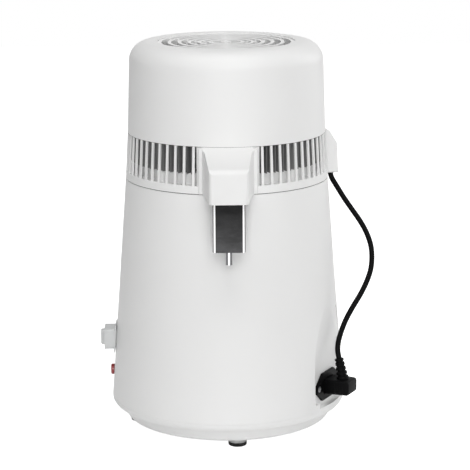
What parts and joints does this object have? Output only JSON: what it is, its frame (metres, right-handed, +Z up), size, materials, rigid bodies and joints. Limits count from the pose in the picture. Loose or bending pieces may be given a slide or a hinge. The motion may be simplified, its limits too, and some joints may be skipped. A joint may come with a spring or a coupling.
{
  "type": "countertop water distiller",
  "caption": "Countertop water distiller: round boiler with a lift-off fan and condenser head, outlet hood with filter box, side power button, reset button and plugged fan lead.",
  "frame": {"origin": "point on the boiler's vertical axis at the height of the surface that the feet stand on", "axes": "+Z up along the boiler's axis, -Y toward the outlet hood at the front, -X toward the power button, +X on the side of the fan lead"},
  "size_m": [0.2688, 0.2589, 0.376],
  "materials": {
    "white_plastic": "satin gloss moulded",
    "grey_plastic": "fine matt",
    "red_plastic": "satin",
    "black_plastic": "fine matt",
    "black_rubber": "matt",
    "white_rubber": "matt",
    "steel": "brushed",
    "box_steel": "bright brushed",
    "aluminium": "mill finish",
    "brass": "bright",
    "jacket_felt": "felt",
    "sachet_paper": "soft paper cloth",
    "ceramic": "matt"
  },
  "bodies": {
    "boiler": {"boiler_housing": "white_plastic", "bottom_cover": "white_plastic", "foot_1": "black_rubber", "foot_2": "black_rubber", "foot_3": "black_rubber", "foot_4": "black_rubber", "base_screws": "steel", "boiling_chamber": "steel", "insulating_jacket": "jacket_felt", "heat_plate": "aluminium", "heating_element": "steel", "heat_cutout": "black_plastic", "plate_studs": "steel", "stud_nuts": "steel", "terminal_block": "ceramic", "switch_frame": "grey_plastic", "switch_body": "black_plastic", "reset_bush": "black_plastic", "fan_socket": "black_plastic", "socket_screws": "steel", "mains_inlet": "black_plastic", "inlet_pins": "steel", "inlet_screws": "steel"},
    "power_button": {"power_button": "grey_plastic"},
    "reset_button": {"reset_button": "red_plastic"},
    "head": {"head_dome": "white_plastic", "top_grille": "white_plastic", "vent_ring": "white_plastic", "steam_lid": "steel", "steam_port": "steel", "head_gasket": "white_rubber", "condenser_coil": "steel", "condenser_fins": "aluminium", "coil_bracket_1": "steel", "coil_bracket_2": "steel", "coil_bracket_3": "steel", "fan_frame": "black_plastic", "fan_screws": "steel", "head_screws": "steel", "gland_bush": "black_rubber", "fan_lead": "black_rubber"},
    "rotor": {"fan_rotor": "black_plastic"},
    "filter": {"filter_box": "box_steel", "outlet_tube": "steel", "strainer": "steel", "carbon_sachet": "sachet_paper"},
    "plug": {"lead_plug": "black_plastic", "plug_pins": "brass", "plug_boot": "black_plastic"}
  },
  "joints": [
    {"name": "head_lift", "type": "slide", "parent": "boiler", "child": "head", "axis": [0, 0, 1], "range_m": [0, 0.06]},
    {"name": "fan_spin", "type": "hinge", "parent": "head", "child": "rotor", "pos_m": [0, 0, 0.35], "axis": [0, 0, 1], "continuous": true},
    {"name": "power_press", "type": "slide", "parent": "boiler", "child": "power_button", "axis": [1, 0, 0], "range_m": [0, 0.003], "stiffness_N_per_m": 400},
    {"name": "reset_press", "type": "slide", "parent": "boiler", "child": "reset_button", "axis": [1, 0, 0], "range_m": [0, 0.0018], "stiffness_N_per_m": 300},
    {"name": "plug_pull", "type": "slide", "parent": "boiler", "child": "plug", "axis": [0.8829, -0.4695, 0], "range_m": [0, 0.02]},
    {"name": "filter_drop", "type": "slide", "parent": "head", "child": "filter", "axis": [0, 0, -1], "range_m": [0, 0.052]}
  ]
}
